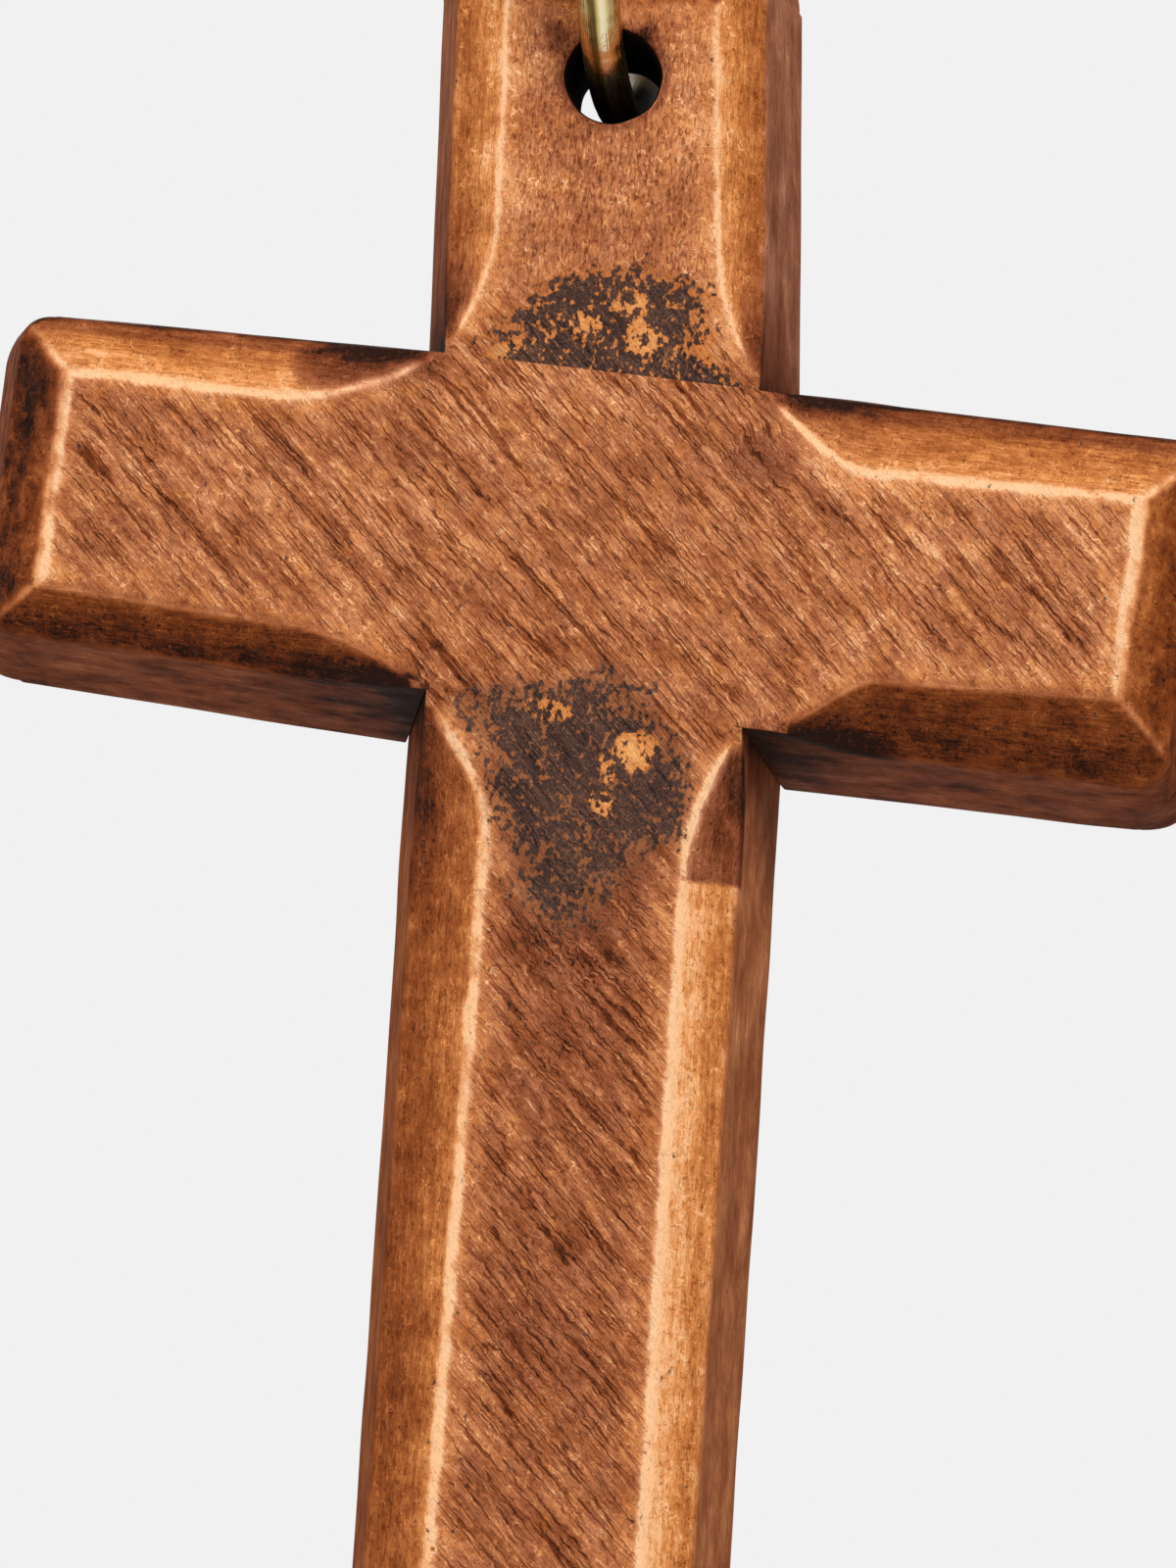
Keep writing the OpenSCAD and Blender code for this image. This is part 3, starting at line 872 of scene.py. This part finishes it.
def stained_wood():
    """Stained wood, worn pale with a painted highlight along its arrises and scorched beside the crossing.
    """
    material, shader, spot, read = start_material("stained_wood")
    place = Value(material.node_tree).node("Attribute", attribute_name="place", out=1)
    arris, outer, on_end = read("arris"), read("outer"), read("on_end")
    uneven = spot.lumps(0.6, 0.6, 0.6).noise(3)
    sway = spot.lumps(0.9, 0.9, 0.9, shift=2).noise(1)
    patchy = spot.lumps(0.20, 0.26, 0.32, MARKS_TURN, 27).noise(4)
    grit = spot.lumps(0.06, 0.06, 0.06).noise(2)
    face = (arris + uneven * 0.08).step(0.1, -0.15)
    side = (outer + uneven * 0.06).step(-0.03, 0.08)
    off_arris = arris + sway * 0.05 + uneven * 0.02
    halo = (off_arris - 0.02).size().step(1.1, 0.08)

    # marks and grain, pale and dark hairs, pores
    shade = face_marks(spot, read) * (halo * -0.55 + 1) + patchy * 0.11
    grain = grain_shade(spot, place, side, on_end, patchy, uneven)
    texture = face.between(grain, shade) + grit * side.step(0, 1, 0.06, 0.02)
    blotches = spot.lumps(1.3, 1.3, 1.3).noise(2) * 0.11
    slanting = spot.hairs((0.09, 1, 0.40), 0.17, 1, MARKS_TURN)
    standing = spot.hairs((0.09, 0.2, 0.28), 0.17, 6)
    curls = spot.hairs((0.45, 0.45, 0.45), 0.11, 40) * uneven.step(-0.2, 0.2)
    straight = (slanting - standing) * (read("marks") * face) + standing * 0.8
    pale = straight.math("MAXIMUM", curls)
    dark = spot.hairs((0.17, 0.17, 0.2), 0.16, 11)
    pores = place.lumps(0.14, 0.05, 0.05, shift=8).noise(1).step(0.8, 1.2)
    detail = texture + (pale * 0.19 - dark * 0.17 - pores * 0.3) * side.step(0, 1, 1, 0.2)

    # wear with a painted highlight along the arrises, darkening toward the chamfers' outer arris, and
    # stains with painted shade in the nooks
    breaks = spot.lumps(0.8, 0.8, 0.8, shift=12).noise(1).step(-1.0, 0.4, 0.7, 1)
    nearest = off_arris.size().math("MINIMUM", read("mitre") + 0.06)
    # A bright core and a soft halo along the inner arris: wear and a painted highlight
    core = (nearest - read("wear") * 0.27).step(0.02, -0.27) * breaks
    worn_and_highlight = read("wear") * (core * core * 0.34 + halo * 0.12)
    # A thin pale line on the outer arris: wear and a painted highlight
    rim = outer.size().step(0.12, 0.02) * breaks * 0.05
    # Darker on the chamfers toward their outer arris
    outer_darkening = (outer + uneven * 0.25).step(-0.8, -0.1) * (uneven + 1).step(-0.2, 1.2, 0.03, 0.12)
    outer_darkening = outer_darkening * (face * -1.0 + 1)
    # Stains, which hold painted shade beside the crossing's roots and in the nooks
    stains_and_shade = read("stain") * (uneven + patchy * 0.6 + 1).step(-0.4, 1.4, 0.16, 0.38)
    tone = read("tone") + detail * (core * -0.4 + 1) + blotches
    tone = tone + (worn_and_highlight - outer_darkening) * side.step(0, 1, 1, 0) + rim - stains_and_shade

    redder = spot.lumps(0.7, 0.7, 0.9, shift=25).noise(3) * 0.25 - patchy * 0.15
    rosy = core * 0.35 + face * (redder + 0.42 - halo * 0.15) + side * read("rosy") + read("stain") * 0.5
    colour = rosy.mix(tone.ramp(WOOD), tone.ramp(ROSY))
    smoky = spot.lumps(0.35, 0.5, 0.8, MARKS_TURN, 33).noise(3).step(0.35, 1.2, 0, 0.5) * (face - core)
    colour = smoky.mix(colour, paint((122, 82, 62)))
    colour = scorched(colour, spot, read, uneven, grit, shade, pale)

    links = material.node_tree.links
    links.new(colour.socket, shader.inputs["Base Color"])
    height = (texture * 3 + pale * 0.8) * side.step(0, 1, 1, 0.03)
    bump = Value(material.node_tree).node("Bump", 1.0, WOOD_RELIEF, None, height)
    links.new(bump.socket, shader.inputs["Normal"])
    rough = texture * -0.8 + 0.6
    links.new(rough.socket, shader.inputs["Roughness"])
    shader.inputs["Specular IOR Level"].default_value = 0.3
    shader.inputs["IOR"].default_value = 1.2
    return material


def painted_shade_bore():
    """The wall of the drilled hole, near black as painted shade inside the hole."""
    material, shader, spot, _ = start_material("bore_painted_shade")
    colour = spot.lumps(0.3, 0.12, 0.3).noise(2).step(-1, 1.4).mix(paint((14, 9, 7)), paint((44, 27, 18)))
    material.node_tree.links.new(colour.socket, shader.inputs["Base Color"])
    rough = spot.lumps(0.2, 0.2, 0.2).noise(1) * 0.05 + 0.9
    material.node_tree.links.new(rough.socket, shader.inputs["Roughness"])
    shader.inputs["Specular IOR Level"].default_value = 0.02
    return material


def old_brass():
    """Drawn brass wire with tarnish spots, painted with bright and dark reflection streaks along it and
    with painted shade where it passes through the hole.
    """
    material, shader, spot, read = start_material("old_brass")
    place = Value(material.node_tree).node("Attribute", attribute_name="place", out=1)
    drawn = place.lumps(2.5, 0.05, 0.05).noise(2)
    spots = spot.lumps(0.35, 0.35, 0.35).noise(3)
    # Painted reflection streaks, with a little noise, spread over the brass palette
    polish = read("polish") * 0.45 + spots * 0.10 + drawn * 0.10 + 0.5
    colour = polish.ramp(BRASS)
    # Tarnish spots, and painted shade where the wire passes through the hole
    grime = (spots + drawn * 0.4).step(0.6, 1.4, 0, 0.5).math("MAXIMUM", read("grime"))
    colour = grime.mix(colour, paint((74, 50, 22)))
    rough = polish * -0.12 + drawn * 0.03 + grime * 0.25 + 0.28
    links = material.node_tree.links
    links.new(colour.socket, shader.inputs["Base Color"])
    links.new(rough.socket, shader.inputs["Roughness"])
    bump = Value(material.node_tree).node("Bump", 1.0, BRASS_RELIEF, None, drawn + spots * 0.8)
    links.new(bump.socket, shader.inputs["Normal"])
    shader.inputs["Metallic"].default_value = 1
    return material


def make_ring():
    """The bent wire: a ring with its eased ends butted at the back."""
    half_gap = SPLIT_GAP / 2 / RING_R
    ease = np.linspace(0, math.pi / 2, EASE_ROWS)
    start, stop = SPLIT_ANGLE + half_gap, SPLIT_ANGLE + 2 * math.pi - half_gap
    soft = END_EASE / RING_R
    turn = np.concatenate([start + soft * (1 - np.cos(ease)),
                           np.linspace(start + soft, stop - soft, RING_CELLS)[1:-1],
                           stop - soft * (1 - np.cos(ease[::-1]))])
    shrink = np.zeros(len(turn))
    shrink[:EASE_ROWS] = END_EASE * (1 - np.sin(ease))
    shrink[-EASE_ROWS:] = shrink[EASE_ROWS - 1::-1]
    around = np.linspace(0, 2 * math.pi, WIRE_CELLS, endpoint=False)
    turn, around = np.meshgrid(turn, around, indexing="ij")
    section = np.stack([RING_R * turn, WIRE_D / 2 * np.cos(around), WIRE_D / 2 * np.sin(around)], -1)
    dents = 0.02 * value_noise(section, 1.2, 21) + 0.03 * smoothstep(0.75, 1, value_noise(section, 0.5, 22))
    low = np.exp(-((turn - 2 * math.pi) * RING_R / 1.2) ** 2) * smoothstep(0.2, -0.8, np.cos(around))
    r = WIRE_D / 2 - shrink[:, None] - dents - 0.04 * low
    way = np.stack([np.sin(turn) * math.sin(RING_TURN), np.sin(turn) * math.cos(RING_TURN),
                    -np.cos(turn)], -1)
    axis = np.array([math.cos(RING_TURN), -math.sin(RING_TURN), 0])
    out = (r * np.cos(around))[..., None]
    grid = way * (RING_R + out) + axis * (r * np.sin(around))[..., None]
    skin = Skin()
    numbers = skin.add(grid)
    skin.wall(numbers)
    for row in (numbers[0], numbers[-1]):
        middle = skin.add(skin.points[row].mean(0)[None])[0]
        skin.faces += [[a, b, middle] for a, b in zip(row.tolist(), np.roll(row, -1).tolist())]
    mesh = skin.mesh("ring_wire")
    x, y, z = points_of(mesh).T
    ahead = y * math.cos(RING_TURN) + x * math.sin(RING_TURN)
    aside = x * math.cos(RING_TURN) - y * math.sin(RING_TURN)
    outward = np.hypot(ahead, z) - RING_R
    place = np.stack([np.arctan2(ahead, -z) % (2 * math.pi) * RING_R, outward, aside], -1)
    # Painted shade on the wire's lower part, which passes through the hole, darkest toward the back
    grime = smoothstep(0.4, 0.8, -z / np.hypot(ahead, z) - 0.36 * smoothstep(1, -1, ahead)) * 0.9
    # Painted reflection: a bright streak right of the wire's middle and a dark one left of it on the outer
    # half, and a paler inner half
    wander = aside / WIRE_D * 2 + 0.5 * value_noise(place, 1.5, 41) - 0.25
    polish = 1.1 * np.exp(-((wander - 0.30) / 0.2) ** 2) - 0.9 * np.exp(-((wander + 0.15) / 0.2) ** 2)
    polish = polish * smoothstep(-0.3, 0.2, outward) + 0.5 * smoothstep(0, -0.5, outward)
    store(mesh, {"polish": polish, "grime": grime}, place)
    mesh.materials.append(old_brass())
    piece = add_object("ring_wire", mesh)
    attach(piece, "ring")
    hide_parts("ring")


def make_bar(bar, name, node, scorches, stains_and_shade, tones, hole=None):
    mesh = build_bar(bar, hole).mesh(name)
    describe(bar, mesh, scorches, stains_and_shade, tones)
    mesh.materials.append(wood)
    if hole:
        # The hole's wall takes the near-black painted shade
        mesh.materials.append(painted_shade_bore())
        centres = np.empty(len(mesh.polygons) * 3)
        mesh.polygons.foreach_get("center", centres)
        s, t, d = bar.to_bar(centres.reshape(-1, 3) / MM).T
        inside = (np.hypot(s - hole[0], t - hole[1]) < HOLE_RIM) & (d > 0.1) & (d < THICKNESS - 0.1)
        mesh.polygons.foreach_set("material_index", inside.astype(np.int32))
    piece = add_object(name, mesh)
    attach(piece, "cross")
    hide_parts(node)


wood = stained_wood()
make_bar(upright, "upright_wood", "upright", UPPER_SCORCHES + LOWER_SCORCHES, UPRIGHT_STAINS_AND_SHADE, UPRIGHT_TONES,
         (HOLE_HEIGHT, HOLE_OFFSET))
make_bar(crossbar, "crossbar_wood", "crossbar", LOWER_SCORCHES, CROSSBAR_STAINS_AND_SHADE, CROSSBAR_TONES)
make_ring()

# The camera, a little below and to the right of the cross, turned as in the photograph. Its
# distance, offset and frame are in the photograph's pixels.
PIXELS_PER_MM = 38.5
CAMERA_DISTANCE = 10000
ROLL, PITCH, YAW = (math.radians(a) for a in (3.0, 7.0, 3.8))
AIM = np.array([0.1, -3, -18.248])
AIM_OFFSET = (4.6, CAMERA_DISTANCE, 246.7)
FRAME_H = 1600


def make_camera():
    turn = (Matrix.Rotation(-ROLL, 3, "Y").transposed() @ Matrix.Rotation(PITCH, 3, "X").transposed()
            @ Matrix.Rotation(YAW, 3, "Z").transposed())
    right, ahead, up = (np.array(row) for row in turn)
    offset = np.array(AIM_OFFSET) / PIXELS_PER_MM
    place = AIM - (offset[0] * right + offset[1] * ahead + offset[2] * up)
    data = bpy.data.cameras.new("camera")
    camera = add_object("camera", data)
    data.sensor_fit = "VERTICAL"
    data.angle = 2 * math.atan(FRAME_H / 2 / CAMERA_DISTANCE)
    data.clip_start, data.clip_end = 0.01, 10
    axes = Matrix((right, up, -ahead)).transposed()
    camera.matrix_world = Matrix.Translation(Vector(place * MM)) @ axes.to_4x4()
    bpy.context.scene.camera = camera


# The studio: strength of its surrounding light, lamps with their power, size and place in metres,
# and a floor
AMBIENT = 0.14
LAMPS = (("key", 4.1, 0.30, (0.18, -0.47, 0.39)), ("fill", 1.2, 0.4, (-0.56, -0.10, 0.07)),
         ("glint", 0.3, 0.08, (-0.33, -0.48, 0.08)), ("rear", 1.0, 0.4, (-0.2, 0.5, 0.35)))
LIT_SPOT = Vector((0, 0, -0.02))
FLOOR_R = 0.4
FLOOR_Z = -0.15
FLOOR_CELLS = 128


def light_studio():
    """A big soft light from the upper right, a weak one from the left and a pale surrounding."""
    world = bpy.data.worlds.new("studio")
    bpy.context.scene.world = world
    world.use_nodes = True
    tree = world.node_tree
    shown = tree.nodes["Background"]
    shown.inputs["Color"].default_value = paint((241, 241, 241))
    lit = Value(tree).node("Background", (1, 1, 1, 1), AMBIENT)
    path = Value(tree).node("LightPath").socket.node
    seen = Value(tree, path.outputs["Is Camera Ray"])
    mixed = seen.node("MixShader", seen, lit, Value(tree, shown.outputs[0]))
    tree.links.new(mixed.socket, tree.nodes["World Output"].inputs["Surface"])
    for name, energy, size, place in LAMPS:
        lamp = bpy.data.lights.new(name, "AREA")
        lamp.energy, lamp.size = energy, size
        holder = add_object(name, lamp)
        holder.location = place
        holder.rotation_euler = (LIT_SPOT - holder.location).to_track_quat("-Z", "Y").to_euler()


def make_floor():
    """A plain pale disc under the hanging cross."""
    mesh = bpy.data.meshes.new("floor")
    angle = np.linspace(0, 2 * math.pi, FLOOR_CELLS, endpoint=False)
    rim = np.stack([FLOOR_R * np.cos(angle), FLOOR_R * np.sin(angle), 0 * angle + FLOOR_Z], -1)
    mesh.from_pydata(rim.tolist(), [], [tuple(range(FLOOR_CELLS))])
    floor = add_object("floor", mesh)
    material, shader, _, _ = start_material("floor")
    shader.inputs["Base Color"].default_value = paint((232, 232, 232))
    shader.inputs["Roughness"].default_value = 0.9
    mesh.materials.append(material)


make_camera()
light_studio()
make_floor()
bpy.context.scene.view_settings.view_transform = "Standard"
